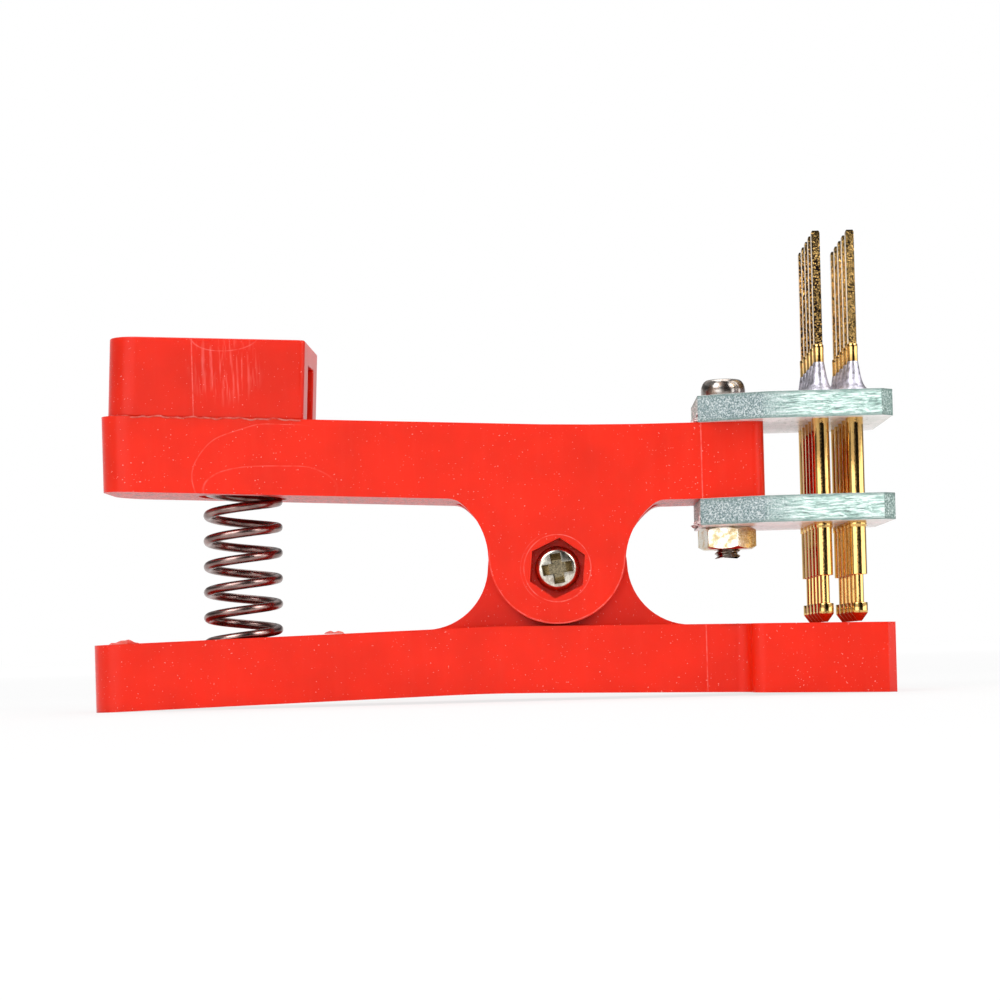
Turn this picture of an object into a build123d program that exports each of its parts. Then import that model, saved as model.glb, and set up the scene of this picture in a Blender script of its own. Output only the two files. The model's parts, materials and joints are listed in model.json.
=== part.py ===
from build123d import *
from math import atan2, cos, degrees, hypot, pi, radians, sin, sqrt, tan
import os

# Hand-held clamp that presses two rows of spring probes on a circuit board.
# Millimetres. X runs from the handles to the probes, Y away from the viewer, Z up.
# The origin is on the surface that the clamp stands on, under the middle of its length.

# Clamp body
body_width = 9.5
handle_reach = 35.2
lower_arch = 0.68
lower_handle_thickness = 5.07
lower_crest_thickness = 5.0
lower_tip_thickness = 5.2
crest_reach = 3.3
upper_thickness = 5.7
upper_handle_inset = 1.0
upper_handle_rise = 6.7
upper_tip_rise = 4.9
bend_from_pivot = 2.55
bend_reach = 6.9
handle_corner_radius = 2.5
tip_corner_radius = 1.0

# Platform under the probes
platform_past_tip = 9.2
platform_length = 10.7
platform_margin = 0.2
platform_shoulder_radius = 1.05
platform_corner_chamfer = 0.65

# Pivot, with two ears on the upper jaw and one knuckle on the lower jaw
ear_thickness = 2.7
ear_radius = 5.15
ear_rise = 0.97
ear_gap = 0.04
flare_reach = 10.57
flare_drop = 4.65
flare_root_radius = 1.5
knuckle_radius = 5.3
knuckle_root_radius = 4.8
knuckle_side_gap = 0.1
knuckle_top_gap = 0.35
knuckle_embed = 1.0
pivot_clearance = 0.05
pocket_depth = 1.8
pocket_clearance = 0.025
head_clearance = 0.2
pocket_turn = -5.7

# Main spring and its seats
spring_outer = 6.1
spring_wire = 0.7
spring_pitch = 1.96
spring_from_handle_end = 10.95
spring_lean = 0.3
spring_first_angle = 340.0
spring_wire_sides = 6
seat_depth = 1.5
seat_clearance = 0.3

# Cable guide on the handle
guide_start = 0.5
guide_length = 15.0
guide_height = 5.95
guide_side_inset = 0.05
guide_end_radius = 0.4
channel_width = 3.8
channel_height = 4.4

# Boards
board_thickness = 2.0
board_from_flare = 0.23
board_overlap = 4.95
board_overhang = 0.3
board_shoulder_setback = 0.05
board_side_margin = 1.67
board_corner = 0.9
hole_clearance = 0.02

# Screws and nuts
screw_diameter = 2.0
head_diameter = 3.4
head_height = 1.6
head_chamfer = 0.4
recess_span = 2.2
recess_slot = 0.55
recess_depth = 0.8
nut_across = 3.9
nut_height = 1.7
screw_hole_clearance = 0.1
pivot_screw_proud = 0.4
pivot_recess_turn = 8.4
board_screw_setback = 2.7
board_screw_proud = 0.6
board_recess_turn = 25.0
board_nut_turn = 11.8

# Probes and their receptacles, which repeat and are small, so their round parts have flat sides
round_sides = 8
probe_spring_sides = 6
probe_pitch = 2.54
probe_setback = 5.05
probe_columns = "ab"
probe_rows = 5
plunger_diameter = 0.73
bearing_step = 0.035
bearing_length = 2.6
bearing_clearance = 0.02
barrel_wall = 0.09
barrel_clearance = 0.02
barrel_end_wall = 0.2
barrel_end_gap = 0.4
mouth_height = 0.3
mouth_clearance = 0.025
receptacle_wall = 0.13
receptacle_below = 4.0
receptacle_end_wall = 0.3
ring_proud = 0.06
ring_height = 0.45
neck_diameter = 0.8
neck_above = 3.5
tail_side = 0.62
tail_length = 8.5
probe_head_diameter = 1.28
probe_head_height = 0.79
tip_cone_height = 0.6
tip_flat_diameter = 0.35
tip_gap = 0.05
probe_spring_clearance = 0.02
probe_spring_wall = 0.1
solder_diameter = 2.15
solder_height = 2.2

# Plan and heights of the clamp, worked out from the sizes above
tip_reach = flare_reach + board_from_flare + board_overlap
lower_length = handle_reach + tip_reach + platform_past_tip
lower_start = -(lower_length + board_overhang) / 2
lower_end = lower_start + lower_length
crest_x = lower_start + lower_length / 2
crest_top = lower_arch + lower_crest_thickness
platform_shoulder_x = lower_end - platform_length
pivot_x = lower_start + handle_reach
pivot_height = crest_top + ear_gap + ear_radius - ear_rise
ear_centre = (pivot_x, pivot_height + ear_rise)
ear_slot_width = body_width - 2 * ear_thickness
knuckle_width = ear_slot_width - 2 * knuckle_side_gap
upper_start = lower_start + upper_handle_inset
upper_bend_x = pivot_x + bend_from_pivot
upper_tip_end = pivot_x + tip_reach
upper_handle_underside = pivot_height + upper_handle_rise
upper_tip_underside = pivot_height + upper_tip_rise
upper_handle_top = upper_handle_underside + upper_thickness
upper_tip_top = upper_tip_underside + upper_thickness
spring_lower_x = lower_start + spring_from_handle_end
spring_upper_x = spring_lower_x + spring_lean

# Boards, screws and pockets
upper_board_base = upper_tip_top
upper_board_top = upper_board_base + board_thickness
lower_board_base = upper_tip_underside - board_thickness
board_start = upper_tip_end - board_overlap
board_end = lower_end + board_overhang
board_shoulder_x = upper_tip_end - board_shoulder_setback
board_width = (probe_rows - 1) * probe_pitch + 2 * board_side_margin
platform_width = board_width + 2 * platform_margin
board_screw_x = upper_tip_end - board_screw_setback
pocket_floor = body_width / 2 - pocket_depth
pocket_across = max(nut_across + 2 * pocket_clearance, head_diameter + 2 * head_clearance)
shank_hole_radius = screw_diameter / 2 + pivot_clearance
screw_hole_radius = screw_diameter / 2 + screw_hole_clearance
pivot_screw_length = 2 * pocket_floor + nut_height + pivot_screw_proud
board_screw_length = upper_board_top - lower_board_base + nut_height + board_screw_proud

# Probes, from the plunger outwards
probe_first_x = lower_end - probe_setback
bearing_radius = plunger_diameter / 2 + bearing_step
barrel_bore_radius = bearing_radius + bearing_clearance
barrel_radius = barrel_bore_radius + barrel_wall
receptacle_bore_radius = barrel_radius + barrel_clearance
tube_radius = receptacle_bore_radius + receptacle_wall
ring_radius = tube_radius + ring_proud
tube_bottom = lower_board_base - receptacle_below
bore_top = upper_board_top - receptacle_end_wall
barrel_top = bore_top - barrel_end_gap
barrel_bore_top = barrel_top - barrel_end_wall
bearing_base = tube_bottom + mouth_height
bearing_top = bearing_base + bearing_length
neck_top = upper_board_top + neck_above


def height_on_line(x, start, end):
    """Height at x of the straight line through two points."""
    return start[1] + (end[1] - start[1]) * (x - start[0]) / (end[0] - start[0])


def lower_top_height(x):
    """Height of the lower jaw's top, without the blend over its crest."""
    if x < crest_x:
        return height_on_line(x, (lower_start, lower_handle_thickness), (crest_x, crest_top))
    return height_on_line(x, (crest_x, crest_top), (lower_end, lower_tip_thickness))


def handle_height(x, edge_at_end, edge_at_tip):
    """Height of the upper handle's underside or top at x."""
    return height_on_line(x, (upper_start, edge_at_end), (upper_bend_x, edge_at_tip))


tip_height = lower_top_height(probe_first_x) + tip_gap


def upright(points):
    """Closed outline in the X-Z plane."""
    return Plane.XZ * make_face(Polyline(*points, close=True))


def flat(points):
    """Closed outline in the X-Y plane."""
    return make_face(Polyline(*points, close=True))


def stepped(rings, sides=round_sides):
    """Small straight or tapered solid round Z, through rings given as radius and height from the bottom up."""
    solid = Part()
    for (radius, base), (next_radius, top) in zip(rings, rings[1:]):
        if top == base:
            continue
        slope = degrees(atan2(abs(radius - next_radius) * cos(pi / sides), top - base))
        wide = RegularPolygon(max(radius, next_radius), sides)
        if radius < next_radius:
            solid += Pos(0, 0, top) * Rot(180, 0, 0) * extrude(wide, top - base, taper=slope)
        else:
            solid += Pos(0, 0, base) * extrude(wide, top - base, taper=slope)
    return solid


def hexagon(across, turn):
    """Hexagon by its width across flats, with a corner up before it is turned."""
    return RegularPolygon(across / 2, 6, major_radius=False, rotation=30 + turn)


def cross_pin(x, height, radius, length):
    """Cylinder along Y, centred on the clamp."""
    return Pos(x, 0, height) * Rot(90, 0, 0) * Cylinder(radius, length)


def softened_at(shape, x, radius):
    """Rounds the outline corners at one X position."""
    return fillet([v for v in shape.vertices() if abs(v.X - x) < 1e-6], radius)


def toward(centre, target):
    """Angle in degrees from one point to another."""
    return degrees(atan2(target[1] - centre[1], target[0] - centre[0]))


def vertex_at(outline, point):
    """Corner of an X-Z outline that lies nearest to a point."""
    return min(outline.vertices(), key=lambda v: hypot(v.X - point[0], v.Z - point[1]))


def eased(outline, before, corner, after, reach):
    """Rounds a shallow corner with an arc that starts this far from it."""
    half_turn = abs(toward(corner, after) - toward(before, corner)) / 2
    return fillet(vertex_at(outline, corner), reach / tan(radians(half_turn)))


def mirrored(points):
    """Closed plan outline from the points of its rear half."""
    return points + [(x, -y) for x, y in reversed(points)]


# Lower jaw
def lower_side_view():
    """Arched bar seen from the front."""
    low_start, low_crest, low_end = (lower_start, 0), (crest_x, lower_arch), (lower_end, 0)
    high_start = (lower_start, lower_handle_thickness)
    high_crest = (crest_x, crest_top)
    high_end = (lower_end, lower_tip_thickness)
    outline = upright([low_start, low_crest, low_end, high_end, high_crest, high_start])
    outline = eased(outline, low_start, low_crest, low_end, crest_reach)
    return eased(outline, high_start, high_crest, high_end, crest_reach)


def lower_plan():
    """Narrow bar with a rounded handle, and a wider platform past an S-shaped shoulder."""
    half = body_width / 2
    wide = platform_width / 2
    points = [(lower_start, half), (platform_shoulder_x, half), (platform_shoulder_x, wide)]
    points += [(lower_end - platform_corner_chamfer, wide), (lower_end, wide - platform_corner_chamfer)]
    shoulder_radius = min(platform_shoulder_radius, 0.48 * (wide - half))
    plan = flat(mirrored(points))
    plan = softened_at(plan, lower_start, handle_corner_radius)
    return softened_at(plan, platform_shoulder_x, shoulder_radius)


def root_circle(direction):
    """Centre of the fillet between the knuckle and the bar on one side, and its foot on the bar."""
    end_x = lower_end if direction > 0 else lower_start
    rise = crest_top - lower_top_height(end_x)
    slope = atan2(rise, abs(end_x - crest_x))
    along = (direction * cos(slope), -sin(slope))
    normal = (direction * sin(slope), cos(slope))
    start = (crest_x + normal[0] * knuckle_root_radius, crest_top + normal[1] * knuckle_root_radius)
    gap = (start[0] - pivot_x, start[1] - pivot_height)
    reach = knuckle_radius + knuckle_root_radius
    forward = gap[0] * along[0] + gap[1] * along[1]
    step = sqrt(forward**2 - gap[0] ** 2 - gap[1] ** 2 + reach**2) - forward
    centre = (start[0] + step * along[0], start[1] + step * along[1])
    foot = (centre[0] - normal[0] * knuckle_root_radius, centre[1] - normal[1] * knuckle_root_radius)
    return centre, foot


def knuckle_outline():
    """Round knuckle that runs into the bar with a large fillet on each side."""
    pivot = (pivot_x, pivot_height)
    left, left_foot = root_circle(-1)
    right, right_foot = root_circle(1)
    left_foot_angle = toward(left, left_foot)
    left_top_angle = toward(left, pivot)
    right_foot_angle = toward(right, right_foot)
    right_top_angle = toward(right, pivot) % 360
    over_start = toward(pivot, right)
    over_size = toward(pivot, left) % 360 - over_start
    edges = [
        CenterArc(left, knuckle_root_radius, left_foot_angle, left_top_angle - left_foot_angle),
        CenterArc(pivot, knuckle_radius, over_start, over_size),
        CenterArc(right, knuckle_root_radius, right_top_angle, right_foot_angle % 360 - right_top_angle),
        Line(right_foot, (right_foot[0], right_foot[1] - knuckle_embed)),
        Line((right_foot[0], right_foot[1] - knuckle_embed), (left_foot[0], left_foot[1] - knuckle_embed)),
        Line((left_foot[0], left_foot[1] - knuckle_embed), left_foot),
    ]
    return Plane.XZ * make_face(edges)


def spring_ends():
    """Middle of the coil's foot and crown, each on the floor of its seat."""
    foot_height = lower_top_height(spring_lower_x) - seat_depth
    crown_height = handle_height(spring_upper_x, upper_handle_underside, upper_tip_underside) + seat_depth
    return Vector(spring_lower_x, 0, foot_height), Vector(spring_upper_x, 0, crown_height)


def spring_seat(floor, far_end):
    """Round hole for one end of the main spring, in line with the coil."""
    radius = spring_outer / 2 + seat_clearance
    hole = Cylinder(radius, 2 * seat_depth, align=(Align.CENTER, Align.CENTER, Align.MIN))
    return Plane(origin=floor, z_dir=far_end - floor) * hole


def lower_jaw():
    bar = extrude(lower_side_view(), platform_width, both=True)
    bar &= extrude(lower_plan(), crest_top)
    bar += extrude(knuckle_outline(), knuckle_width / 2, both=True)
    bar -= cross_pin(pivot_x, pivot_height, shank_hole_radius, body_width)
    foot, far_end = spring_ends()
    return bar - spring_seat(foot, far_end)


# Upper jaw
def upper_bar_outline():
    """Bar seen from the front, level at the tip and rising to the handle."""
    low_start = (upper_start, upper_handle_underside)
    low_bend = (upper_bend_x, upper_tip_underside)
    low_end = (upper_tip_end, upper_tip_underside)
    high_end = (upper_tip_end, upper_tip_top)
    high_bend = (upper_bend_x, upper_tip_top)
    high_start = (upper_start, upper_handle_top)
    outline = upright([low_start, low_bend, low_end, high_end, high_bend, high_start])
    outline = eased(outline, low_start, low_bend, low_end, bend_reach)
    return eased(outline, high_start, high_bend, high_end, bend_reach)


def underside_height(x):
    """Height of the upper bar's underside, without the blend at its bend."""
    if x > upper_bend_x:
        return upper_tip_underside
    return handle_height(x, upper_handle_underside, upper_tip_underside)


def flare_circle(direction):
    """Centre and radius of the round gap on one side of the ears, which it touches."""
    x = ear_centre[0] + direction * flare_reach
    height = underside_height(x) - flare_drop
    radius = hypot(x - ear_centre[0], height - ear_centre[1]) - ear_radius
    return (x, height), radius


def flare_root(direction):
    """Point where the round gap runs into the bar's underside."""
    centre, radius = flare_circle(direction)
    x = centre[0] - direction * sqrt(radius**2 - flare_drop**2)
    return x, underside_height(x)


def ear_outline():
    """Ear with a round foot, whose sides run up into the bar along two round gaps."""
    left, left_radius = flare_circle(-1)
    right, right_radius = flare_circle(1)
    left_angle = toward(left, ear_centre)
    right_angle = toward(right, ear_centre) % 360
    foot_start = toward(ear_centre, left) % 360
    foot_size = toward(ear_centre, right) % 360 - foot_start
    if foot_size < 0:
        foot_size += 360
    edges = [
        CenterArc(left, left_radius, 90, left_angle - 90),
        CenterArc(ear_centre, ear_radius, foot_start, foot_size),
        CenterArc(right, right_radius, right_angle, 90 - right_angle),
        Line((right[0], right[1] + right_radius), (left[0], left[1] + left_radius)),
    ]
    return Plane.XZ * make_face(edges)


def upper_side_view():
    """Bar and ears in one outline, with a small fillet where each round gap meets the bar."""
    outline = upper_bar_outline() + ear_outline()
    roots = [vertex_at(outline, flare_root(direction)) for direction in (-1, 1)]
    return fillet(roots, flare_root_radius)


def upper_plan():
    half = body_width / 2
    plan = flat(mirrored([(upper_start, half), (upper_tip_end, half)]))
    plan = softened_at(plan, upper_start, handle_corner_radius)
    return softened_at(plan, upper_tip_end, tip_corner_radius)


def ear_slot():
    """Space between the ears, under the bar, with room for the knuckle's top."""
    reach = 2 * flare_reach
    below = Plane.XZ * Pos(pivot_x, pivot_height) * Rectangle(reach, reach)
    slot = extrude(below - upper_bar_outline(), ear_slot_width / 2, both=True)
    return slot + cross_pin(pivot_x, pivot_height, knuckle_radius + knuckle_top_gap, ear_slot_width)


def hex_pocket(front):
    """Pocket in one ear for a nut or a screw head."""
    side = 1 if front else -1
    plane = Plane.XZ.offset(side * body_width / 2)
    outline = plane * Pos(pivot_x, pivot_height) * hexagon(pocket_across, pocket_turn)
    return extrude(outline, -side * pocket_depth)


def upper_jaw():
    body = extrude(upper_side_view(), body_width, both=True)
    body &= extrude(upper_plan(), upper_handle_top)
    body -= ear_slot()
    body -= cross_pin(pivot_x, pivot_height, shank_hole_radius, 2 * body_width)
    body -= hex_pocket(True)
    body -= hex_pocket(False)
    body -= Pos(board_screw_x, 0, upper_tip_top) * Cylinder(screw_hole_radius, 3 * upper_thickness)
    foot, crown = spring_ends()
    return body - spring_seat(crown, foot)


# Cable guide
def guide_plane():
    """Plane on the handle's sloping top, at the guide's left end."""
    x = upper_start + guide_start
    height = handle_height(x, upper_handle_top, upper_tip_top)
    slope = (upper_bend_x - upper_start, 0, upper_tip_top - upper_handle_top)
    return Plane(origin=(x, 0, height), x_dir=slope, z_dir=(-slope[2], 0, slope[0]))


def cable_guide():
    half = body_width / 2 - guide_side_inset
    plan = flat(mirrored([(0, half), (guide_length, half)]))
    plan = softened_at(plan, 0, handle_corner_radius)
    plan = softened_at(plan, guide_length, guide_end_radius)
    block = extrude(plan, guide_height)
    channel = Pos(guide_length / 2, 0, 0) * Box(2 * guide_length, channel_width, 2 * channel_height)
    return guide_plane() * (block - channel)


# Main spring
def main_spring():
    """Coil between the two seats, ground flat at both ends, with its wire as a six-sided bar."""
    radius = (spring_outer - spring_wire) / 2
    foot, crown = spring_ends()
    length = (crown - foot).length
    coil_path = Pos(0, 0, -spring_pitch) * Helix(spring_pitch, length + 2 * spring_pitch, radius)
    across_wire = Plane(origin=coil_path @ 0, x_dir=(1, 0, 0), z_dir=coil_path % 0)
    section = across_wire * RegularPolygon(spring_wire / 2, spring_wire_sides)
    coil = sweep(section, path=coil_path, is_frenet=True)
    coil &= Pos(0, 0, length / 2) * Cylinder(spring_outer, length)
    frame = Plane(origin=foot, x_dir=(1, 0, 0), z_dir=crown - foot)
    return frame * Rot(0, 0, spring_first_angle) * coil


# Screws and nuts, each made along Z with its seat at the origin
def screw(length, recess_turn):
    """Pan-head screw with a cross recess, head up."""
    head = Cylinder(head_diameter / 2, head_height, align=(Align.CENTER, Align.CENTER, Align.MIN))
    head = chamfer(head.faces().sort_by(Axis.Z)[-1].edges(), head_chamfer)
    shank = Cylinder(screw_diameter / 2, length, align=(Align.CENTER, Align.CENTER, Align.MAX))
    cross = Rectangle(recess_span, recess_slot) + Rectangle(recess_slot, recess_span)
    recess = extrude(Pos(0, 0, head_height) * Rot(0, 0, recess_turn) * cross, -recess_depth)
    return head + shank - recess


def nut(turn):
    """Hexagon nut standing on its seat."""
    return extrude(hexagon(nut_across, turn) - Circle(screw_diameter / 2 + hole_clearance), nut_height)


def pivot_screw():
    return Pos(pivot_x, -pocket_floor, pivot_height) * Rot(90, 0, 0) * screw(pivot_screw_length, pivot_recess_turn)


def pivot_nut():
    return Pos(pivot_x, pocket_floor, pivot_height) * Rot(-90, 0, 0) * nut(-pocket_turn)


def board_screw():
    return Pos(board_screw_x, 0, upper_board_top) * screw(board_screw_length, board_recess_turn)


def board_nut():
    return Pos(board_screw_x, 0, lower_board_base) * Rot(180, 0, 0) * nut(-board_nut_turn)


# Boards
def probe_places():
    """Name and plan position of every probe."""
    for column, letter in enumerate(probe_columns):
        for row in range(probe_rows):
            x = probe_first_x + column * probe_pitch
            y = (row - (probe_rows - 1) / 2) * probe_pitch
            yield f"{letter}{row + 1}", x, y


def board(base):
    """Plate that is narrow on the jaw's tip and wide round the probes."""
    neck = body_width / 2
    wide = board_width / 2
    points = [
        (board_start, neck),
        (board_shoulder_x, wide),
        (board_end - board_corner, wide),
        (board_end, wide - board_corner),
    ]
    plate = Pos(0, 0, base) * extrude(flat(mirrored(points)), board_thickness)
    plate -= Pos(board_screw_x, 0, base) * Cylinder(screw_hole_radius, 3 * board_thickness)
    hole_radius = tube_radius + hole_clearance
    hole = stepped([(hole_radius, base), (hole_radius, base + board_thickness)])
    for _, x, y in probe_places():
        plate -= Pos(x, y, 0) * hole
    return plate


# Probes, each made round Z at its own heights
def receptacle():
    """Tube with a press ring, a bore for the probe, a neck and a square tail."""
    ring_base = lower_board_base - ring_height
    body = stepped([
        (tube_radius, tube_bottom),
        (tube_radius, ring_base),
        (ring_radius, ring_base),
        (ring_radius, lower_board_base),
        (tube_radius, lower_board_base),
        (tube_radius, upper_board_top),
        (neck_diameter / 2, upper_board_top),
        (neck_diameter / 2, neck_top),
    ])
    body -= stepped([(receptacle_bore_radius, tube_bottom), (receptacle_bore_radius, bore_top)])
    return body + Pos(0, 0, neck_top) * extrude(Rectangle(tail_side, tail_side), tail_length)


def barrel():
    """Probe barrel, closed at the top and rolled in at its mouth."""
    mouth = plunger_diameter / 2 + mouth_clearance
    body = stepped([(barrel_radius, tube_bottom), (barrel_radius, barrel_top)])
    return body - stepped([
        (mouth, tube_bottom),
        (mouth, bearing_base),
        (barrel_bore_radius, bearing_base),
        (barrel_bore_radius, barrel_bore_top),
    ])


def plunger():
    """Conical head, rod and the thicker bearing that the barrel's mouth holds back."""
    head_base = tip_height + tip_cone_height
    head_top = head_base + probe_head_height
    return stepped([
        (tip_flat_diameter / 2, tip_height),
        (probe_head_diameter / 2, head_base),
        (probe_head_diameter / 2, head_top),
        (plunger_diameter / 2, head_top),
        (plunger_diameter / 2, bearing_base),
        (bearing_radius, bearing_base),
        (bearing_radius, bearing_top),
    ])


def probe_spring():
    """Sleeve in place of the fine coil between the bearing and the barrel's closed end."""
    outer = barrel_bore_radius * cos(pi / round_sides) - probe_spring_clearance
    span = (bearing_top, barrel_bore_top)
    body = stepped([(outer, height) for height in span], probe_spring_sides)
    return body - stepped([(outer - probe_spring_wall, height) for height in span], probe_spring_sides)


def solder_joint():
    """Cone of solder on the upper board, round the receptacle's neck."""
    solder_top = upper_board_top + solder_height
    neck = neck_diameter / 2
    cone = stepped([(solder_diameter / 2, upper_board_top), (neck, solder_top)])
    return cone - stepped([(neck, upper_board_top), (neck, solder_top)])


def write(name, shape):
    export_step(shape, f"parts/{name}.step")


def main():
    os.makedirs("parts", exist_ok=True)
    write("lower_jaw", lower_jaw())
    write("upper_jaw", upper_jaw())
    write("cable_guide", cable_guide())
    write("main_spring", main_spring())
    write("pivot_screw", pivot_screw())
    write("pivot_nut", pivot_nut())
    write("board_screw", board_screw())
    write("board_nut", board_nut())
    write("upper_board", board(upper_board_base))
    write("lower_board", board(lower_board_base))
    pieces = {
        "receptacle": receptacle(),
        "barrel": barrel(),
        "plunger": plunger(),
        "probe_spring": probe_spring(),
    }
    for place, x, y in probe_places():
        for name, piece in pieces.items():
            write(f"{name}_{place}", Pos(x, y, 0) * piece)
    cone = solder_joint()
    write("solder_joints", Compound([Pos(x, y, 0) * cone for _, x, y in probe_places()]))


main()
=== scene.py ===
import json
from math import cos, hypot, pi, radians, sin

import bpy
from bpy.props import FloatProperty, FloatVectorProperty, IntProperty, PointerProperty
from bpy.types import Operator, Panel, PropertyGroup
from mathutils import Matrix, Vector


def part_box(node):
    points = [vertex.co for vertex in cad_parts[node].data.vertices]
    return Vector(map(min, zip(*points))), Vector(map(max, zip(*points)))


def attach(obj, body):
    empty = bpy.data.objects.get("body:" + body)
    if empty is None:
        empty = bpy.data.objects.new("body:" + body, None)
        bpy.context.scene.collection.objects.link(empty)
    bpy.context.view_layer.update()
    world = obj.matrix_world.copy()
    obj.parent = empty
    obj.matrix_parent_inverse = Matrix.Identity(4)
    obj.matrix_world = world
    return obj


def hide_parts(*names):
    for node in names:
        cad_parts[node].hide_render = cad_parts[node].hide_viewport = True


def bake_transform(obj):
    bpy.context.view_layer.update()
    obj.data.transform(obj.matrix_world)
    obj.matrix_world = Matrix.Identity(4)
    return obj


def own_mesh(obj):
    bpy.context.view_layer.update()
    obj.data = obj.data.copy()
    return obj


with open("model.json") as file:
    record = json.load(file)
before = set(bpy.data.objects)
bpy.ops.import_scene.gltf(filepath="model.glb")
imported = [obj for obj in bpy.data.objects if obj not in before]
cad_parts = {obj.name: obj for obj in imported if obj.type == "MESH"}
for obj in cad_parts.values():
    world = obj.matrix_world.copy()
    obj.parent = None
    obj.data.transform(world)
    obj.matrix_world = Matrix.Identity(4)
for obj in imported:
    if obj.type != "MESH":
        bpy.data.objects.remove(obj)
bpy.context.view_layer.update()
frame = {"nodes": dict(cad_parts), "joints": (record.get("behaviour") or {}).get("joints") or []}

bl_info = {
    "name": "Probe clamp",
    "version": (1, 0, 0),
    "blender": (4, 5, 0),
    "location": "View3D > Sidebar > Probe clamp",
    "description": "Dresses a hand-held probe clamp round its packed frame",
    "category": "Object",
}

MM = 0.001


def middle(node):
    """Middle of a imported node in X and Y, in millimetres."""
    low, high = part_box(node)
    return (low.x + high.x) / 2 / MM, (low.y + high.y) / 2 / MM


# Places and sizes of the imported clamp, in millimetres
HINGE = next(joint for joint in frame["joints"] if joint["name"] == "jaw_hinge")["pos_m"]
PIVOT = (HINGE[0] / MM, HINGE[2] / MM)
POCKET_FLOOR = 2.95
BOARD_SCREW_X = middle("board_screw")[0]
UPPER_BOARD_BASE, UPPER_BOARD_TOP = 20.5, 22.5
LOWER_BOARD_BASE = 12.8
PROBE_COLUMNS = {"a": middle("plunger_a1")[0], "b": middle("plunger_b1")[0]}
PROBE_PITCH = 2.54
PROBE_ROWS = 5
TUBE_BOTTOM = 8.8
TIP_HEIGHT = 5.331
NECK_TOP = 26.0
TAIL_HALF = 0.31
BODY_FRONT = -4.62
GUIDE_CORNER = 2.5
SEAM_REACH = 4.735
SEAM_START, SEAM_LENGTH = 0.3, 14.5
SEAM_DIAMETER = 0.13
NUT_HEIGHT, NUT_ACROSS = 1.7, 3.9
HEAD_HEIGHT = 1.6
BOARD_CORNER_Y = -4.45
SPRING_FOOT = (PIVOT[0] - 24.25, 3.785)
SPRING_CROWN = (PIVOT[0] - 23.95, 17.65)
# Place from a board's lower left corner, size and turn of each crumb that was torn out there
TORN_BITS = ((-0.02, 0.0, 0.12, (0.55, 0.5, 0.3), 20), (-0.16, 0.35, 0.22, (0.4, 0.4, 0.45), 65),
             (0.0, 0.9, 0.14, (0.35, 0.6, 0.3), 110), (-0.06, 2.2, 0.3, (0.3, 0.8, 0.5), 40),
             (-0.04, 4.4, 0.16, (0.3, 0.9, 0.3), 150), (0.02, -0.05, 0.5, (0.25, 0.3, 0.5), 10))
# Start, end, height of the surface and height of the moulding flash along the lower jaw's front edge
FLASH = ((-28.7, -26.4, 5.1, 0.38), (-12.6, -11.1, 5.45, 0.30), (17.0, 20.6, 5.2, 0.20))


def probe_places():
    """Name, X and Y of each probe, from the front row to the back."""
    for column, x in PROBE_COLUMNS.items():
        for row in range(PROBE_ROWS):
            yield f"{column}{row + 1}", x, (row - (PROBE_ROWS - 1) / 2) * PROBE_PITCH


# Sizes and colours that a user may change
def length(name, description, default_mm):
    return FloatProperty(name=name, description=description, default=default_mm * MM, min=0.0,
                         precision=5, subtype="DISTANCE", unit="LENGTH")


def colour(name, description, red, green, blue):
    """Colour property from its screen values of 0 to 255."""
    values = []
    for part in (red, green, blue):
        part = part / 255
        values.append(part / 12.92 if part <= 0.04045 else ((part + 0.055) / 1.055) ** 2.4)
    return FloatVectorProperty(name=name, description=description, default=values, min=0.0, max=1.0,
                               size=3, subtype="COLOR")


class ClampSizes(PropertyGroup):
    plastic_rounding: length("Plastic rounding", "Radius of the moulded parts' edges", 0.14)
    board_rounding: length("Board rounding", "Radius of the sawn edges of the boards", 0.05)
    spring_wire: length("Spring wire", "Diameter of the main spring's wire", 0.70)
    spring_outer: length("Spring outside", "Outside diameter of the main spring", 6.06)
    spring_pitch: length("Spring pitch", "Distance between the turns of the main spring", 1.956)
    thread_pitch: length("Thread pitch", "Distance between the turns of the screw threads", 0.40)
    thread_depth: length("Thread depth", "Depth of the screw threads", 0.22)
    nut_chamfer: length("Nut chamfer", "Height of the chamfer at both ends of a nut", 0.24)
    round_steps: IntProperty(name="Round steps", description="Sides of the small round pieces", default=28,
                             min=8, max=64)


class ClampColours(PropertyGroup):
    red_plastic: colour("Red plastic", "Colour of the two jaws", 228, 38, 12)
    guide_plastic: colour("Guide plastic", "Colour of the cable guide", 220, 37, 14)
    spring_steel: colour("Spring steel", "Colour of the springs", 168, 140, 134)
    screw_steel: colour("Screw steel", "Colour of the screws", 168, 162, 156)
    nut_steel: colour("Nut steel", "Colour of the nuts", 236, 230, 216)
    laminate: colour("Board laminate", "Colour of the glass-epoxy boards", 172, 206, 197)
    gold: colour("Gold", "Colour of the plated probes", 236, 192, 118)
    solder: colour("Solder", "Colour of the solder cones", 206, 202, 214)
    floor: colour("Floor", "Colour of the floor", 250, 250, 250)


# Helpers for modelling
def deselect_all():
    bpy.ops.object.select_all(action="DESELECT")


def choose(piece, *others):
    """Selects only these pieces and makes the first one active."""
    deselect_all()
    for other in others:
        other.select_set(True)
    piece.select_set(True)
    bpy.context.view_layer.objects.active = piece


def name_piece(piece, name):
    piece.name = name
    piece.data.name = name
    return piece


def added(name, add, **values):
    """Adds a primitive with nothing else selected and names it."""
    deselect_all()
    add(**values)
    return name_piece(bpy.context.object, name)


def edit(piece, whole=True):
    """Starts editing a mesh, with all of it selected or with what was selected before."""
    choose(piece)
    bpy.ops.object.mode_set(mode="EDIT")
    if whole:
        bpy.ops.mesh.select_all(action="SELECT")


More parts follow.
